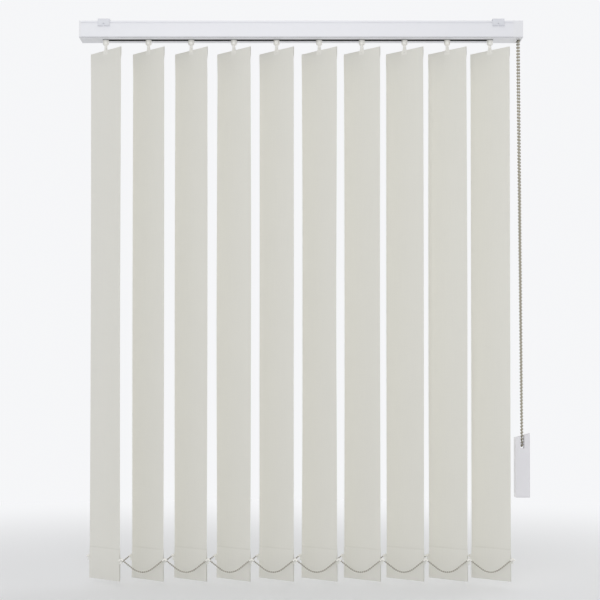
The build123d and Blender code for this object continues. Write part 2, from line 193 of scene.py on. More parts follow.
# %% Group for clouded mouldings
BROAD_SCALE = 16.0
CLOSE_SCALE = 120.0
BROAD_SHARE = 0.65
GRAIN_SHEEN = 0.18
clouded, take, give = start_group(
    "clouded_moulding",
    [
        ("Tone", "NodeSocketColor", (0.8, 0.8, 0.8, 1)),
        ("Cloud depth", "NodeSocketFloat", 0.06),
        ("Grain size", "NodeSocketFloat", 0.0006),
        ("Roughness", "NodeSocketFloat", 0.4),
    ],
    SURFACE_OUTPUTS,
)
place = add_node(clouded, "ShaderNodeTexCoord").outputs["Object"]
broad = arithmetic(clouded, "MULTIPLY", noise(clouded, place, BROAD_SCALE, 3.0), BROAD_SHARE)
close = arithmetic(clouded, "MULTIPLY", noise(clouded, place, CLOSE_SCALE, 2.0), 1 - BROAD_SHARE)
lift = swing(clouded, arithmetic(clouded, "ADD", broad, close), take["Cloud depth"])
fineness = arithmetic(clouded, "DIVIDE", 1.0, take["Grain size"])
grain = noise(clouded, place, fineness, 1.0)
rough = arithmetic(clouded, "ADD", take["Roughness"], swing(clouded, grain, GRAIN_SHEEN))
clouded.links.new(toned(clouded, take["Tone"], arithmetic(clouded, "ADD", 1.0, lift)), give["Color"])
clouded.links.new(rough, give["Roughness"])
clouded.links.new(grain, give["Height"])
print("group:", clouded.name)

# %% [markdown]
# ## Finishes of the rigid pieces
# Paint on the rail, satin mouldings at its ends, spring strip, hooks and bare metal differ in tone, gloss
# and grain, but not in how they are made. So one recipe takes those values and returns the material. A
# single flat colour would be quicker, but it looks like a toy as soon as the light moves.


# %% Recipe for a moulded or painted finish
GRAIN_STRENGTH = 0.6


def moulded_finish(name, tone, roughness, grain_size, grain_depth, cloud_depth, metal=0.0):
    """A clouded, lightly grained finish. Grain size and depth are in metres."""
    material = bpy.data.materials.new(name)
    material.use_nodes = True
    tree = material.node_tree
    shader = tree.nodes["Principled BSDF"]
    finish = add_node(tree, "ShaderNodeGroup", node_tree=clouded)
    finish.inputs["Tone"].default_value = (*tone, 1)
    finish.inputs["Cloud depth"].default_value = cloud_depth
    finish.inputs["Grain size"].default_value = grain_size
    finish.inputs["Roughness"].default_value = roughness
    relief = [("Height", finish.outputs["Height"]), ("Distance", grain_depth), ("Strength", GRAIN_STRENGTH)]
    bump = add_node(tree, "ShaderNodeBump", relief)
    tree.links.new(finish.outputs["Color"], shader.inputs["Base Color"])
    tree.links.new(finish.outputs["Roughness"], shader.inputs["Roughness"])
    tree.links.new(bump.outputs["Normal"], shader.inputs["Normal"])
    shader.inputs["Metallic"].default_value = metal
    return material


def dress(piece, material):
    """Give a piece one material and nothing else."""
    piece.data.materials.clear()
    piece.data.materials.append(material)


finishes = {
    "rail_paint": moulded_finish("rail_paint", (0.71, 0.715, 0.75), 0.33, 0.0011, 0.00004, 0.04),
    "cap_plastic": moulded_finish("cap_plastic", (0.71, 0.715, 0.74), 0.38, 0.0006, 0.00005, 0.05),
    "bracket_finish": moulded_finish("bracket_finish", (0.63, 0.64, 0.68), 0.36, 0.0008, 0.00004, 0.06),
    "rod_metal": moulded_finish("rod_metal", (0.78, 0.78, 0.79), 0.28, 0.0005, 0.00003, 0.10, 1.0),
    # The carriers and the chain wheel are dark grey, partly painted shade: the dark tone stands in for the shade
    # in the rail's slot.
    "carrier_plastic": moulded_finish("carrier_plastic", (0.13, 0.13, 0.125), 0.48, 0.0007, 0.00006, 0.12),
    "hook_plastic": moulded_finish("hook_plastic", (0.80, 0.79, 0.75), 0.30, 0.0005, 0.00003, 0.06),
    "weight_metal": moulded_finish("weight_metal", (0.78, 0.78, 0.75), 0.40, 0.0007, 0.00005, 0.08),
    "link_chain": moulded_finish("link_chain", (0.34, 0.32, 0.275), 0.42, 0.0004, 0.00003, 0.14),
    "bead_chain": moulded_finish("bead_chain", (0.33, 0.305, 0.245), 0.34, 0.0005, 0.00003, 0.16),
    "bob_plastic": moulded_finish("bob_plastic", (0.69, 0.685, 0.715), 0.34, 0.0006, 0.00005, 0.05),
}
print("finishes:", ", ".join(finishes))

# %% [markdown]
# ## Painted shade inside the rail
# The inside of the rail's channel is painted near black, as painted shade, so that the slot along
# its underside reads as a dark line. A second material would need its own faces on the CAD mesh, which
# stays as it is. So the edge of the painted shade is found from the place on the rail: inside means nearer
# to the middle than the walls, and between the roof and the lips of the slot. Wall and roof are each cut
# within their thickness, so that no edge of the painted shade shows outside.

# %% Painted shade inside the rail
WALL_DEPTH = 1.275 * MM
ROOF_DEPTH = 0.9 * MM
UNSHADED_LIP = 0.4 * MM
# painted shade: a near-black colour for the inside of the channel, where the rail is in shade
PAINTED_SLOT_SHADE = (0.07, 0.07, 0.066, 1)
rail_low, rail_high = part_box("headrail")
tree = finishes["rail_paint"].node_tree
shader = tree.nodes["Principled BSDF"]
place = add_node(tree, "ShaderNodeTexCoord").outputs["Object"]
spot = add_node(tree, "ShaderNodeSeparateXYZ", [(0, place)]).outputs
off_middle = arithmetic(tree, "ABSOLUTE", spot[1])
between = arithmetic(tree, "LESS_THAN", off_middle, rail_high.y - WALL_DEPTH)
above = arithmetic(tree, "GREATER_THAN", spot[2], rail_low.z + UNSHADED_LIP)
under = arithmetic(tree, "LESS_THAN", spot[2], rail_high.z - ROOF_DEPTH)
# painted shade mask: 1 inside the channel, where the paint colour is mixed to near black
painted_shade = arithmetic(tree, "MULTIPLY", between, arithmetic(tree, "MULTIPLY", above, under))
painted = shader.inputs["Base Color"].links[0].from_socket
tree.links.new(mix(tree, painted_shade, painted, PAINTED_SLOT_SHADE), shader.inputs["Base Color"])
# the painted shade starts this high on the lips of the slot
print("paint ends", round(rail_low.z + UNSHADED_LIP, 4), "high on the lips of the slot")

# %% [markdown]
# ## The woven fabric
# The vanes are cut from a stiffened off-white weave. Up close there are fine threads both ways, thicker
# slubs that run down the strip and picks that run across it; from a step away only a soft unevenness is
# left. The pattern has to follow the cloth round its folds, so it reads the strip's own UV map, which is
# in metres of the flat cut.

# %% Group for the weave
woven, take, give = start_group(
    "woven_strip",
    [
        ("Tone", "NodeSocketColor", (0.74, 0.74, 0.68, 1)),
        ("Slub depth", "NodeSocketFloat", 0.07),
        ("Threads per metre", "NodeSocketFloat", 1100.0),
        ("Roughness", "NodeSocketFloat", 0.8),
    ],
    SURFACE_OUTPUTS,
)
cut = add_node(woven, "ShaderNodeUVMap", uv_map="Cut").outputs["UV"]
across_down = add_node(woven, "ShaderNodeSeparateXYZ", [(0, cut)]).outputs
turns = arithmetic(woven, "MULTIPLY", take["Threads per metre"], math.pi)
warp = arithmetic(woven, "SINE", arithmetic(woven, "MULTIPLY", across_down[0], turns))
weft = arithmetic(woven, "SINE", arithmetic(woven, "MULTIPLY", across_down[1], turns))
crossing = arithmetic(woven, "MULTIPLY", arithmetic(woven, "MULTIPLY", warp, weft), 0.5)
threads = arithmetic(woven, "ADD", crossing, 0.5)
print("group started:", woven.name)

# %% [markdown]
# A slub is a thick stretch of yarn, so it is long and thin. Noise becomes that when its coordinates are
# stretched before it is read: many steps across and few along for slubs, the reverse for picks, and few
# both ways for the blotches that dye leaves. Their sum darkens and lightens the tone, and threads and
# slubs together give the relief.


# %% Slubs, picks and blotches
def streaks(stretch, detail):
    """Noise drawn out along the cut or across it."""
    drawn = add_node(woven, "ShaderNodeMapping", [("Vector", cut), ("Scale", stretch)]).outputs[0]
    return noise(woven, drawn, 1.0, detail)


def weighted_sum(tree, parts):
    """The sum of values, each times its share."""
    total = 0.0
    for value, share in parts:
        total = arithmetic(tree, "ADD", arithmetic(tree, "MULTIPLY", value, share), total)
    return total


THREAD_SHADE = 0.03
SLUB_SHEEN = 0.12
slubs = streaks((420.0, 14.0, 1.0), 3.0)
picks = streaks((30.0, 520.0, 1.0), 2.0)
blotches = streaks((22.0, 9.0, 1.0), 2.0)
uneven = weighted_sum(woven, [(slubs, 0.5), (picks, 0.25), (blotches, 0.25)])
lift = arithmetic(woven, "ADD", swing(woven, uneven, take["Slub depth"]), 1 - THREAD_SHADE / 2)
shade = weighted_sum(woven, [(threads, THREAD_SHADE), (lift, 1.0)])
rough = arithmetic(woven, "ADD", take["Roughness"], swing(woven, slubs, SLUB_SHEEN))
woven.links.new(toned(woven, take["Tone"], shade), give["Color"])
woven.links.new(rough, give["Roughness"])
woven.links.new(weighted_sum(woven, [(threads, 0.6), (slubs, 0.4)]), give["Height"])
print("group nodes:", len(woven.nodes))

# %% [markdown]
# ## The section of one strip
# A vane is one flat strip, folded back at the top to hold the hanger and at the bottom to hold the
# weight. It could be folded by rotating flaps, but it is easier to draw its section, at the middle of the
# cloth: up the back of the pocket, over the fold, down the whole drop, round the hem and up to the hem's
# weld. A station is (toward the window, up) in millimetres, counted from the vane's top edge or its
# bottom edge, which the frame gives.

# %% Section of the strip
VANE_WIDTH = 89.0 * MM
CLOTH = 0.4 * MM
PANEL_RUNS = 40
vane_low, vane_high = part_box("vane_01")
head_stations = [
    (-0.13, -23.4), (-0.16, -21.0), (0.80, -14.5), (0.80, -1.0), (0.57, -0.4), (0.0, -0.2),
    (-0.57, -0.4), (-0.80, -1.0), (-0.80, -7.4), (-0.80, -14.5), (-0.58, -21.0), (-0.35, -30.0),
    (-0.12, -42.0), (0.0, -55.0),
]
hem_stations = [
    (0.0, 60.0), (0.12, 59.0), (-0.06, 58.0), (-0.90, 43.0), (-0.90, 1.0), (-0.62, 0.4), (0.0, 0.2),
    (0.62, 0.4), (0.90, 1.0), (0.90, 43.0), (0.42, 59.0), (0.45, 61.4),
]
head = [Vector((0, y * MM, vane_high.z + z * MM)) for y, z in head_stations]
hem = [Vector((0, y * MM, vane_low.z + z * MM)) for y, z in hem_stations]
section = head + [head[-1].lerp(hem[0], run / PANEL_RUNS) for run in range(1, PANEL_RUNS)] + hem
reached = [0.0]
for before, after in zip(section, section[1:]):
    reached.append(reached[-1] + (after - before).length)

# %% [markdown]
# ## Working as by hand
# The pieces are modelled with the same operators as in the window: select, extrude, scale, bisect. An
# operator acts on all that is selected, and the CAD nodes are still selected after loading, so the
# helpers below first clear everything and then select by place or by normal. The last one adds a modifier
# and applies it.


# %% Helpers for modelling
SMOOTH_ANGLE = 40


def leave_all():
    """Object mode with nothing selected, so that an operator reaches only what it is given."""
    if bpy.context.mode != "OBJECT":
        bpy.ops.object.mode_set(mode="OBJECT")
    bpy.ops.object.select_all(action="DESELECT")


def only(piece):
    """Select one object and make it the active one."""
    leave_all()
    piece.select_set(True)
    bpy.context.view_layer.objects.active = piece


def edit(piece):
    """Open one object in edit mode, by vertices and with nothing selected in it."""
    only(piece)
    bpy.ops.object.mode_set(mode="EDIT")
    bpy.ops.mesh.select_mode(type="VERT")
    bpy.ops.mesh.select_all(action="DESELECT")


def pick(piece, kind, test):
    """In edit mode, select only the vertices or faces whose middle and normal pass a test."""
    bpy.ops.mesh.select_all(action="DESELECT")
    bpy.ops.mesh.select_mode(type=kind)
    shape = bmesh.from_edit_mesh(piece.data)
    found = 0
    for part in shape.verts if kind == "VERT" else shape.faces:
        if test(part.co if kind == "VERT" else part.calc_center_median(), part.normal):
            part.select_set(True)
            found += 1
    shape.select_flush_mode()
    bmesh.update_edit_mesh(piece.data)
    return found


def extrude(step):
    """Extrude what is selected by a step."""
    bpy.ops.mesh.extrude_region_move(TRANSFORM_OT_translate={"value": step})


def smooth(angle=SMOOTH_ANGLE):
    """Smooth the selected object where it bends less than an angle."""
    bpy.ops.object.shade_smooth_by_angle(angle=math.radians(angle))


def close_edit(piece, angle=SMOOTH_ANGLE):
    """Turn all faces outward, leave edit mode and smooth the piece."""
    bpy.ops.mesh.select_all(action="SELECT")
    bpy.ops.mesh.normals_make_consistent(inside=False)
    only(piece)
    smooth(angle)


def finish_with(piece, kind, **settings):
    """Add one modifier and apply it."""
    only(piece)
    modifier = piece.modifiers.new(kind.lower(), kind)
    for key, value in settings.items():
        setattr(modifier, key, value)
    bpy.ops.object.modifier_apply(modifier=modifier.name)


print("modelling helpers ready")

# %% [markdown]
# ## Extruding the strip
# The strip starts as a row of edges across its width, cut from a grid, and is extruded from station to
# station along the section. That keeps the faces square and evenly spaced, so the cloth can twist and bow
# smoothly afterwards.

# %% Extrude the strip
ACROSS = 16
leave_all()
bpy.ops.mesh.primitive_grid_add(x_subdivisions=ACROSS, y_subdivisions=1, size=VANE_WIDTH)
strip = bpy.context.object
strip.name = "vane_strip"
edit(strip)
pick(strip, "VERT", lambda middle, normal: middle.y > 0)
bpy.ops.mesh.delete(type="VERT")
bpy.ops.mesh.select_mode(type="EDGE")
bpy.ops.mesh.select_all(action="SELECT")
bpy.ops.transform.translate(value=section[0] + Vector((0, VANE_WIDTH / 2, 0)))
for before, after in zip(section, section[1:]):
    extrude(after - before)
leave_all()
print("strip faces:", len(strip.data.polygons))

# %% [markdown]
# ## The notch for the hanger
# The hanger's arch stands up through a notch in the fold. On the real strip it is punched through both
# layers. Here three cuts with the bisect operator mark its outline, and the faces inside it are deleted.

# %% Cut the notch
NOTCH_HALF = 6.5 * MM
NOTCH_DROP = 8.5 * MM
notch_floor = vane_high.z - NOTCH_DROP
edit(strip)
for spot, direction in (
    ((NOTCH_HALF, 0, 0), (1, 0, 0)),
    ((-NOTCH_HALF, 0, 0), (1, 0, 0)),
    ((0, 0, notch_floor), (0, 0, 1)),
):
    bpy.ops.mesh.select_all(action="SELECT")
    bpy.ops.mesh.bisect(plane_co=spot, plane_no=direction)
removed = pick(strip, "FACE", lambda middle, normal: abs(middle.x) < NOTCH_HALF and middle.z > notch_floor)
bpy.ops.mesh.delete(type="FACE")
bpy.ops.mesh.select_all(action="SELECT")
bpy.ops.mesh.normals_make_consistent(inside=False)
leave_all()
print("notch faces removed:", removed)

# %% [markdown]
# ## Map and thickness
# The map gives each point its place on the flat cut: across, and along the section, in metres. An unwrap
# would do it nearly, but the section's lengths are known exactly. A Solidify modifier gives the cloth its
# thickness last, because the map is simpler to write on one layer.


# %% Map the cut and thicken the cloth
def length_along(spot):
    """How far along the section the nearest point to this one lies."""
    spot = Vector((0, spot.y, spot.z))
    best = (math.inf, 0.0)
    for before, after, start in zip(section, section[1:], reached):
        run = after - before
        share = min(1.0, max(0.0, (spot - before).dot(run) / run.length_squared))
        best = min(best, ((before + share * run - spot).length, start + share * run.length))
    return best[1]


lengths = [length_along(vertex.co) for vertex in strip.data.vertices]
while strip.data.uv_layers:
    strip.data.uv_layers.remove(strip.data.uv_layers[0])
cut_map = strip.data.uv_layers.new(name="Cut")
for loop in strip.data.loops:
    spot = strip.data.vertices[loop.vertex_index].co
    cut_map.data[loop.index].uv = (spot.x + VANE_WIDTH / 2, lengths[loop.vertex_index])
finish_with(strip, "SOLIDIFY", thickness=CLOTH, offset=0.0)
smooth()
print("strip triangles:", 2 * len(strip.data.polygons))

# %% [markdown]
# ## The cloth's material
# A pressed weld closes the hem and shows as a thin, slightly darker line at a known length along the cut.
# The weave is matt with a little sheen at a flat angle. Thin stiffened cloth also lets a few percent of
# the light through, so a Translucent shader is mixed in. More of it would show the pocket and the weight
# as dark bands.

# %% Fabric material
WELD_HALF = 0.6 * MM
WELD_FADE = 2.2 * MM
WELD_DEPTH = 0.2
WELD_TONE = (0.60, 0.595, 0.54, 1)
FABRIC_TONE = (0.765, 0.757, 0.708, 1)
THREAD_RELIEF = 0.15 * MM
THREAD_STRENGTH = 0.5
SHEEN = 0.12
SHEEN_ROUGHNESS = 0.6
SEE_THROUGH = 0.10
hem_weld = length_along(hem[1])
fabric = bpy.data.materials.new("vane_fabric")
fabric.use_nodes = True
tree = fabric.node_tree
shader = tree.nodes["Principled BSDF"]
cloth = add_node(tree, "ShaderNodeGroup", node_tree=woven)
cloth.inputs["Tone"].default_value = FABRIC_TONE
cut = add_node(tree, "ShaderNodeUVMap", uv_map="Cut").outputs["UV"]
along_cut = add_node(tree, "ShaderNodeSeparateXYZ", [(0, cut)]).outputs[1]
distance = arithmetic(tree, "ABSOLUTE", arithmetic(tree, "SUBTRACT", along_cut, hem_weld))
press = [("Value", distance), ("From Min", WELD_HALF), ("From Max", WELD_FADE)]
press += [("To Min", WELD_DEPTH), ("To Max", 0.0)]
pressed = add_node(tree, "ShaderNodeMapRange", press, interpolation_type="SMOOTHSTEP").outputs[0]
colour = mix(tree, pressed, cloth.outputs["Color"], WELD_TONE)
relief = [("Height", cloth.outputs["Height"]), ("Distance", THREAD_RELIEF), ("Strength", THREAD_STRENGTH)]
facing = add_node(tree, "ShaderNodeBump", relief).outputs["Normal"]
tree.links.new(colour, shader.inputs["Base Color"])
tree.links.new(cloth.outputs["Roughness"], shader.inputs["Roughness"])
tree.links.new(facing, shader.inputs["Normal"])
shader.inputs["Sheen Weight"].default_value = SHEEN
shader.inputs["Sheen Roughness"].default_value = SHEEN_ROUGHNESS
glow = add_node(tree, "ShaderNodeBsdfTranslucent", [("Color", colour), ("Normal", facing)]).outputs[0]
shares = [(0, SEE_THROUGH), (1, shader.outputs[0]), (2, glow)]
both_ways = add_node(tree, "ShaderNodeMixShader", shares).outputs[0]
tree.links.new(both_ways, tree.nodes["Material Output"].inputs["Surface"])
dress(strip, fabric)
print("hem weld at", round(hem_weld, 4), "m along the cut")

# %% [markdown]
# ## Ten vanes
# The finished strip is copied ten times, each copy with its own mesh. A real row is never quite regular:
# between its stiff hanger and its weight each strip twists and bows a little. A cloth simulation would
# hang the strips dead straight, so the twists are listed. They happen on the free length only, so the
# pocket and the hem stay where the CAD frame has them. Each copy is then turned to the rest angle and set
# on its pivot.

# %% Copy, settle and hang the vanes
VANE_TURN = math.radians(-43.5)
TWISTS = (-1.2, 0.9, 1.1, 2.4, 0.1, -2.2, -1.2, 0.6, 1.8, -0.2)
BOW = (-0.5 * MM, 0.7 * MM)
SWAY = (-0.3 * MM, 0.3 * MM)
SWAY_WAVES = 1.5
EASE = 1.2
HEAD_SEAM_DROP = 21.0 * MM
head_seam_z = vane_high.z - HEAD_SEAM_DROP
hem_seam_z = hem[1].z
chance = random.Random(11)


def settle(mesh, twist, bow, sway, phase):
    """Twist and bow the free length of a strip between its two welds."""
    for vertex in mesh.vertices:
        share = (head_seam_z - vertex.co.z) / (head_seam_z - hem_seam_z)
        if 0 < share < 1:
            free = math.sin(math.pi * share) ** EASE
            hollow = 1 - (2 * vertex.co.x / VANE_WIDTH) ** 2
            wave = math.sin(math.tau * SWAY_WAVES * share + phase)
            vertex.co.y += free * (bow * hollow + sway * wave)
            vertex.co.rotate(Matrix.Rotation(twist * free, 3, "Z"))


for (number, pivot), twist in zip(pivots.items(), TWISTS):
    vane = bpy.data.objects.new(f"vane_strip_{number}", strip.data.copy())
    bpy.context.scene.collection.objects.link(vane)
    bow = chance.uniform(*BOW)
    sway = chance.uniform(*SWAY)
    settle(vane.data, math.radians(twist), bow, sway, chance.uniform(0, math.tau))
    vane.data.transform(Matrix.Translation((pivot, 0, 0)) @ Matrix.Rotation(VANE_TURN, 4, "Z"))
    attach(vane, f"vane_set_{number}")
    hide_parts(f"vane_{number}")
bpy.data.objects.remove(strip)

# %% [markdown]
# ## The line of a chain
# A strung chain is a soft line with rigid beads on it. The line is one NURBS curve with a few control
# points, which gives smooth bends without any corner to round off. Its points are read back from a curve
# without thickness, and everything that is strung on it follows them.


# %% Helpers for a line
POINTS_A_SPAN = 24


def route_line(name, points):
    """The points down a smooth curve that has these as its control points."""
    curve = bpy.data.curves.new(name, "CURVE")
    curve.dimensions = "3D"
    curve.resolution_u = POINTS_A_SPAN
    spline = curve.splines.new("NURBS")
    spline.points.add(len(points) - 1)
    for point, spot in zip(spline.points, points):
        point.co = (*spot, 1)
    spline.order_u = 3
    spline.use_endpoint_u = True
    route = bpy.data.objects.new(name, curve)
    mesh = bpy.data.meshes.new_from_object(route)
    line = [vertex.co.copy() for vertex in mesh.vertices]
    bpy.data.meshes.remove(mesh)
    bpy.data.objects.remove(route)
    return line


def line_length(line):
    """The length of a line of points."""
    return sum((after - before).length for before, after in zip(line, line[1:]))


print("line helpers ready")

# %% [markdown]
# ## One bead
# A moulded bead is nearly a ball, with a thread of the cord showing on both sides. It starts as a sphere
# with few faces, because it is repeated hundreds of times. The two poles are dissolved to flat caps, and
# each cap is drawn in to the cord's thickness and extruded until it meets the next bead, so the string is
# unbroken.


# %% Helper that models a bead
NECK_OVERLAP = 0.01
BEAD_SMOOTH_ANGLE = 50


def model_bead(name, radius, pitch, neck, segments, rings):
    """A bead whose poles are drawn out along Z to necks that meet those of its neighbours."""
    leave_all()
    bpy.ops.mesh.primitive_uv_sphere_add(segments=segments, ring_count=rings, radius=radius)
    bead = bpy.context.object
    bead.name = name
    cap_radius = radius * math.sin(math.pi / rings)
    cap_height = radius * math.cos(math.pi / rings)
    edit(bead)
    pick(bead, "VERT", lambda middle, normal: abs(middle.z) > 0.99 * radius)
    bpy.ops.mesh.dissolve_verts()
    for side in (-1, 1):
        pick(bead, "FACE", lambda middle, normal: side * normal.z > 0.99)
        extrude((0, 0, 0))
        bpy.ops.transform.resize(value=(neck / cap_radius, neck / cap_radius, 1))
        extrude((0, 0, side * ((0.5 + NECK_OVERLAP) * pitch - cap_height)))
    close_edit(bead, BEAD_SMOOTH_ANGLE)
    return bead


print("necks overlap by", 2 * NECK_OVERLAP, "of a pitch")

# %% [markdown]
# ## Stringing beads
# The beads sit at equal steps along the line and point along it. An array along a curve would stretch
# them at the bends, so each one is placed by itself and all are joined to one piece at the end. Unless it
# is told otherwise, the first bead sits half a step from the end of the line, so that a chain ends alike
# at both ends.


# %% Helpers that string and join
def join_all(copies, name):
    """Join objects to one piece."""
    leave_all()
    for copy in copies:
        copy.select_set(True)
    bpy.context.view_layer.objects.active = copies[0]
    bpy.ops.object.join()
    copies[0].name = name
    return copies[0]


def string_beads(bead, name, line, pitch, first=0.5):
    """Copies of a bead at even steps along a line, joined; the first one after a share of a step."""
    count = round(line_length(line) / pitch)
    step = line_length(line) / count
    copies = []
    done = 0.0
    target = step * first
    for before, after in zip(line, line[1:]):
        run = after - before
        while len(copies) < count and target <= done + run.length + 1e-9:
            spot = before + run * ((target - done) / run.length)
            copy = bpy.data.objects.new(name, bead.data.copy())
            copy.data.transform(Matrix.Translation(spot) @ run.to_track_quat("Z", "Y").to_matrix().to_4x4())
            bpy.context.scene.collection.objects.link(copy)
            copies.append(copy)
            target += step
        done += run.length
    return join_all(copies, name), count


print("stringing helpers ready")

# %% [markdown]
# ## The control chain
# The control is an endless loop of beads. It runs over a wheel in the rail's end and under a bar in its
# weight, and the weight pulls both runs straight. So the control points are only the corners of the loop,
# and one more on each run near the wheel and near the bar. All of them follow from the box of the CAD
# chain. How far the loop is pulled round is free: here the first bead sits where the beads of both runs
# look level from the camera near the rail, as they do in the photograph.

# %% String the control chain
BEAD = 4.5 * MM
BEAD_PITCH = 6.0 * MM
BEAD_NECK = 0.55 * MM
FIRST_BEAD = 0.36
BEAD_SEGMENTS = 10
BEAD_RINGS = 6
BAR_LOOP = 4.5 * MM
BELOW_WHEEL = 36.5 * MM
ABOVE_BAR = 31.5 * MM
weight_low, weight_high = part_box("chain_weight")
chain_low, chain_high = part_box("control_chain")
wheel_x = chain_low.x + BEAD / 2
foot_x = (weight_low.x + weight_high.x) / 2
middle_y = (chain_low.y + chain_high.y) / 2
front_y = chain_low.y + BEAD / 2
back_y = chain_high.y - BEAD / 2
top_z = chain_high.z - BEAD / 2
foot_z = chain_low.z + BEAD / 2
loop_points = [
    (wheel_x, middle_y, top_z),
    (wheel_x, front_y, top_z),
    (wheel_x, front_y, top_z - BELOW_WHEEL),
    (foot_x, middle_y - BAR_LOOP, foot_z + ABOVE_BAR),
    (foot_x, middle_y - BAR_LOOP, foot_z),
    (foot_x, middle_y + BAR_LOOP, foot_z),
    (foot_x, middle_y + BAR_LOOP, foot_z + ABOVE_BAR),
    (wheel_x, back_y, top_z - BELOW_WHEEL),
    (wheel_x, back_y, top_z),
    (wheel_x, middle_y, top_z),
]
loop_line = route_line("control_loop", loop_points)
bead = model_bead("control_bead", BEAD / 2, BEAD_PITCH, BEAD_NECK, BEAD_SEGMENTS, BEAD_RINGS)
beads, bead_count = string_beads(bead, "control_beads", loop_line, BEAD_PITCH, FIRST_BEAD)
dress(beads, finishes["bead_chain"])
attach(beads, "rail")
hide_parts("control_chain")
bpy.data.objects.remove(bead)
print("control chain:", bead_count, "beads on", round(line_length(loop_line), 3), "m")

# %% [markdown]
# ## The cord's weight
# Its weight is a rigid moulding that the CAD frame already has, so that node only needs its finish,
# which it gets with the other CAD nodes.

print("leaves the rail at", round(rail_low.z, 4))

# %% [markdown]
# ## Where the bottom chains are clipped
# Two fine chains link the bottom weights, one along the room edges of the vanes and one along the window
# edges. Each weight has a pin at both ends, and the first joint of each chain stands on the first pin, so
# the frame gives their places. The chains run a little outside the pins, because the closed vanes need
# that room.

# %% Places of pins and clips
PIN_TOP_TO_CLIP = 1.05 * MM
STAND_OFF = 3.7 * MM
clip_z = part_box("bottom_weight_01")[1].z - PIN_TOP_TO_CLIP
first_pivot = Vector((pivots["01"], 0, 0))
pins = {}
clips = {}
for name, outward in (("front", -1), ("rear", 1)):
    reach = hinges[f"{name}_links_turn"] - first_pivot
    pins[name] = [Vector((pivot + reach.x, reach.y, clip_z)) for pivot in pivots.values()]
    clips[name] = [pin + Vector((0, outward * STAND_OFF, 0)) for pin in pins[name]]
    print(name, "pins:", round(reach.x / MM, 1), "mm along and", round(reach.y / MM, 1), "mm across")

# %% [markdown]
# ## The bottom chains
# Each chain hangs in a shallow arc from clip to clip. The curve's control points are the clips, each
# taken twice so that the line comes to a point there, and one low point between each pair. The curve only
# comes three quarters of the way down to that point. The vanes stack from 80 to 22 mm apart.

# %% String the bottom chains
LINK = 3.2 * MM
LINK_PITCH = 3.8 * MM
LINK_NECK = 0.7 * MM
LINK_SEGMENTS = 8
LINK_RINGS = 4
SAG = 24.0 * MM
SAG_SHARE = 0.75
link = model_bead("chain_link", LINK / 2, LINK_PITCH, LINK_NECK, LINK_SEGMENTS, LINK_RINGS)
for name, places in clips.items():
    points = [places[0], places[0]]
    for before, after in zip(places, places[1:]):
        points += [(before + after) / 2 - Vector((0, 0, SAG / SAG_SHARE)), after, after]
    line = route_line(f"{name}_links", points)
    chain, link_count = string_beads(link, f"{name}_chain_links", line, LINK_PITCH)
    dress(chain, finishes["link_chain"])
    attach(chain, f"{name}_links")
    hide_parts(f"{name}_bottom_chain")
    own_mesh(chain)
    print(name, "chain:", link_count, "links on", round(line_length(line), 3), "m")
bpy.data.objects.remove(link)

# %% [markdown]
# ## The ring of a clip
# At each vane the chain is held by a small white clip: a ring that turns on the pin of the weight, and an
# arm to each side that grips the chain. The ring is a circle of edges, extruded outward to a washer and
# then upward to a tube. A bevel takes off the sharp edges of the mould.

# %% Model the ring
RING_HOLE = 0.98 * MM
RING_OUTER = 1.9 * MM
RING_BELOW = 2.8 * MM
RING_HEIGHT = 4.2 * MM
RING_SIDES = 24
RING_CORNER = math.radians(40)
MOULD_EDGE = 0.25 * MM
leave_all()
bpy.ops.mesh.primitive_circle_add(vertices=RING_SIDES, radius=RING_HOLE, location=(0, 0, -RING_BELOW))
ring = bpy.context.object
bpy.ops.object.transform_apply(location=True)
edit(ring)
bpy.ops.mesh.select_all(action="SELECT")
extrude((0, 0, 0))
bpy.ops.transform.resize(value=(RING_OUTER / RING_HOLE, RING_OUTER / RING_HOLE, 1))
bpy.ops.mesh.select_all(action="SELECT")
extrude((0, 0, RING_HEIGHT))
close_edit(ring)
finish_with(ring, "BEVEL", width=MOULD_EDGE, segments=2, limit_method="ANGLE", angle_limit=RING_CORNER)
smooth()
print("ring faces:", len(ring.data.polygons))

# %% [markdown]
# ## The arms of a clip
# An arm starts as a short cylinder that droops as the chain does. Its end face is extruded and scaled to
# a waist and then to the cup that grips the first link. A Mirror modifier makes the other arm, and a
# short bridge reaches back to the round of the ring. The arms keep the chain's direction while the
# vanes turn, so they ride with the chain and not with the ring.

# %% Model a pair of arms
ARM = 1.75 * MM
ARM_SIDES = 12
ARM_CORNER = math.radians(50)
ARM_LENGTH = 2.2 * MM
BRIDGE = 1.2 * MM
BRIDGE_OVERLAP = 0.4 * MM
DROOP = math.atan2(SAG / SAG_SHARE, (clips["front"][1].x - clips["front"][0].x) / 2)
CUP_STEPS = ((0.8 * MM, 0.95), (0.7 * MM, 1.17), (1.2 * MM, 1.0), (0.5 * MM, 0.75))
along_arm = Vector((math.cos(DROOP), 0, -math.sin(DROOP)))
leave_all()
bpy.ops.mesh.primitive_cylinder_add(
    vertices=ARM_SIDES,
    radius=ARM,
    depth=ARM_LENGTH,
    location=along_arm * ARM_LENGTH / 2,
    rotation=(0, math.pi / 2 + DROOP, 0),
)
arms = bpy.context.object
bpy.ops.object.transform_apply(location=True, rotation=True)
edit(arms)
pick(arms, "FACE", lambda middle, normal: normal.dot(along_arm) > 0.9)
for step, size in CUP_STEPS:
    extrude(along_arm * step)
    bpy.ops.transform.resize(value=(size, size, size))
leave_all()
finish_with(arms, "MIRROR", use_axis=(True, False, False), use_mirror_merge=False)
edit(arms)
bridge_length = STAND_OFF - RING_OUTER + BRIDGE_OVERLAP
bridge_middle = (0, bridge_length / 2, 0)
bridge_turn = (math.pi / 2, 0, 0)
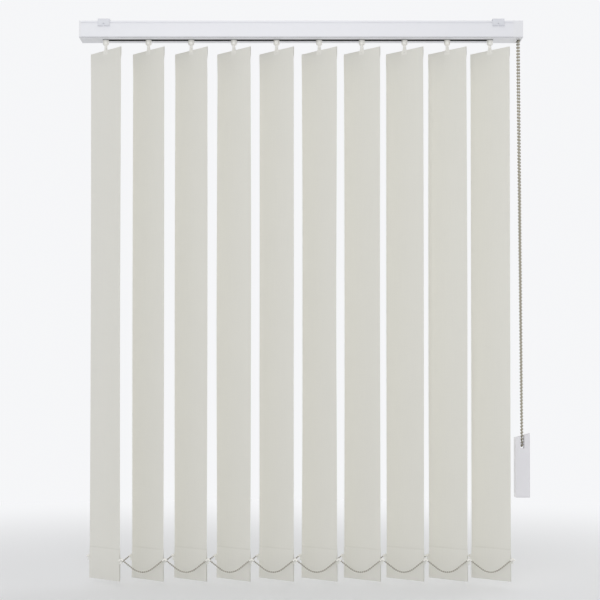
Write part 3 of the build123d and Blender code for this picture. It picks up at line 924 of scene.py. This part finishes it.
bpy.ops.mesh.primitive_cylinder_add(
    vertices=ARM_SIDES, radius=BRIDGE, depth=bridge_length, location=bridge_middle, rotation=bridge_turn
)
close_edit(arms)
finish_with(arms, "BEVEL", width=MOULD_EDGE, segments=2, limit_method="ANGLE", angle_limit=ARM_CORNER)
smooth()
print("arm faces:", len(arms.data.polygons), "droop:", round(math.degrees(DROOP), 1))

# %% [markdown]
# ## Placing the clips
# Each ring stays with its own vane. The arms of one chain are joined to one piece, which rides with the
# chain. Both take the white of the hooks.

# %% Place the clips
for name in pins:
    pairs = []
    for number, pin, clip in zip(pivots, pins[name], clips[name]):
        own_ring = bpy.data.objects.new(f"{name}_clip_ring_{number}", ring.data.copy())
        own_ring.data.transform(Matrix.Translation(pin))
        bpy.context.scene.collection.objects.link(own_ring)
        dress(own_ring, finishes["hook_plastic"])
        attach(own_ring, f"vane_set_{number}")
        pair = bpy.data.objects.new(f"{name}_clip_arms", arms.data.copy())
        inward = Matrix.Rotation(0 if clip.y < 0 else math.pi, 4, "Z")
        pair.data.transform(Matrix.Translation(clip) @ inward)
        bpy.context.scene.collection.objects.link(pair)
        pairs.append(pair)
    all_arms = join_all(pairs, f"{name}_clip_arms")
    dress(all_arms, finishes["hook_plastic"])
    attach(all_arms, f"{name}_links")
    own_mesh(all_arms)
    print(name, "clips:", len(pairs))
bpy.data.objects.remove(ring)
bpy.data.objects.remove(arms)

# %% [markdown]
# ## Finishes on the CAD nodes
# The record says which slot each node belongs to, so the rail, its end pieces, brackets, hooks, hangers,
# weights and everything inside the rail get their materials in one pass. The hidden CAD vanes get the
# fabric.

# %% Dress the CAD nodes
for part in frame["record"]["subparts"]:
    dress(nodes[part["node"]], finishes.get(part["material_slot"], fabric))

# %% [markdown]
# ## The floor
# The setting is plain: a pale floor just under the vanes, which takes their shadow. A curved studio sheet
# would hide the horizon. Here the floor's own material fades into the colour of the background with the
# distance, which does the same without any geometry behind the blind. The fade is for the eye and for
# reflections only. Light that bounces finds plain paint all the way, so the fade never becomes a lamp.

# %% Floor
BACKDROP = (0.92, 0.925, 0.94, 1)
FLOOR_PAINT = (0.80, 0.805, 0.815, 1)
FLOOR_GAP = 12 * MM
FLOOR_SIZE = 14
FADE_START = 0.5
FADE_END = 2.2
leave_all()
bpy.ops.mesh.primitive_plane_add(size=FLOOR_SIZE, location=(0, 0, cad_low.z - FLOOR_GAP))
floor = bpy.context.object
floor.name = "floor"
floor_paint = bpy.data.materials.new("floor_paint")
floor_paint.use_nodes = True
tree = floor_paint.node_tree
shader = tree.nodes["Principled BSDF"]
shader.inputs["Base Color"].default_value = FLOOR_PAINT
shader.inputs["Roughness"].default_value = 0.7
spot = add_node(tree, "ShaderNodeTexCoord").outputs["Object"]
far = add_node(tree, "ShaderNodeVectorMath", [(0, spot)], operation="LENGTH").outputs["Value"]
fade_range = [("Value", far), ("From Min", FADE_START), ("From Max", FADE_END)]
fade = add_node(tree, "ShaderNodeMapRange", fade_range, interpolation_type="SMOOTHSTEP").outputs[0]
haze = add_node(tree, "ShaderNodeEmission", [("Color", BACKDROP), ("Strength", 1.0)]).outputs[0]
path = add_node(tree, "ShaderNodeLightPath").outputs
mirrored = arithmetic(tree, "MAXIMUM", path["Is Glossy Ray"], path["Is Transmission Ray"])
seen = arithmetic(tree, "MAXIMUM", path["Is Camera Ray"], mirrored)
hazy = [(0, arithmetic(tree, "MULTIPLY", fade, seen)), (1, shader.outputs[0]), (2, haze)]
blend = add_node(tree, "ShaderNodeMixShader", hazy).outputs[0]
tree.links.new(blend, tree.nodes["Material Output"].inputs["Surface"])
dress(floor, floor_paint)
print("floor at", round(floor.location.z, 4))

# %% [markdown]
# ## Light
# The light is a plain studio light, at which each colour comes out about as it is written. Most of it is
# the even sky of the next step. One soft lamp in the room, a little to the left, looks in between the
# vanes and lights their fronts. A wide one far behind, where the window would be, lights their backs, and
# they pass some of it on to the front of the next vane. A stronger window lamp would show that better,
# but it burns the pale backs out to white as soon as the blind is seen from behind. For the same reason
# the window lamp is hidden from reflections, where it would put a white streak on the back of the rail.


# %% Lamps
BLIND_MIDDLE = Vector((0, 0, -0.5))


def soft_lamp(name, place, width, height, power):
    """A broad area lamp that looks at the middle of the blind."""
    data = bpy.data.lights.new(name, "AREA")
    data.shape = "RECTANGLE"
    data.size = width
    data.size_y = height
    data.energy = power
    lamp = bpy.data.objects.new(name, data)
    lamp.location = place
    lamp.rotation_euler = (BLIND_MIDDLE - Vector(place)).to_track_quat("-Z", "Y").to_euler()
    bpy.context.scene.collection.objects.link(lamp)
    print(name, "at", place, "with", power, "W")
    return lamp


soft_lamp("key_lamp", (-0.3, -3.3, 0.2), 1.6, 2.4, 34)
window_lamp = soft_lamp("window_lamp", (4.4, 4.4, -0.35), 4.4, 1.2, 225)
window_lamp.visible_glossy = False

# %% [markdown]
# ## Sky and background
# The world has two jobs. For light it is an even sky of three quarters strength. For the eye it is the pale
# background, also in reflections. The Light Path node tells the two apart, so a brighter background never
# means more light on the blind.

# %% World
SKY_STRENGTH = 0.74
world = bpy.data.worlds.new("pale_room")
bpy.context.scene.world = world
world.use_nodes = True
tree = world.node_tree
tree.nodes.clear()
path = add_node(tree, "ShaderNodeLightPath").outputs
mirrored = arithmetic(tree, "MAXIMUM", path["Is Glossy Ray"], path["Is Transmission Ray"])
seen = arithmetic(tree, "MAXIMUM", path["Is Camera Ray"], mirrored)
sky = add_node(tree, "ShaderNodeBackground", [("Color", (1, 1, 1, 1)), ("Strength", SKY_STRENGTH)]).outputs[0]
wall = add_node(tree, "ShaderNodeBackground", [("Color", BACKDROP), ("Strength", 1.0)]).outputs[0]
either = add_node(tree, "ShaderNodeMixShader", [(0, seen), (1, sky), (2, wall)]).outputs[0]
tree.links.new(either, add_node(tree, "ShaderNodeOutputWorld").inputs["Surface"])
bpy.context.scene.view_settings.view_transform = "Standard"
print("view transform:", bpy.context.scene.view_settings.view_transform)
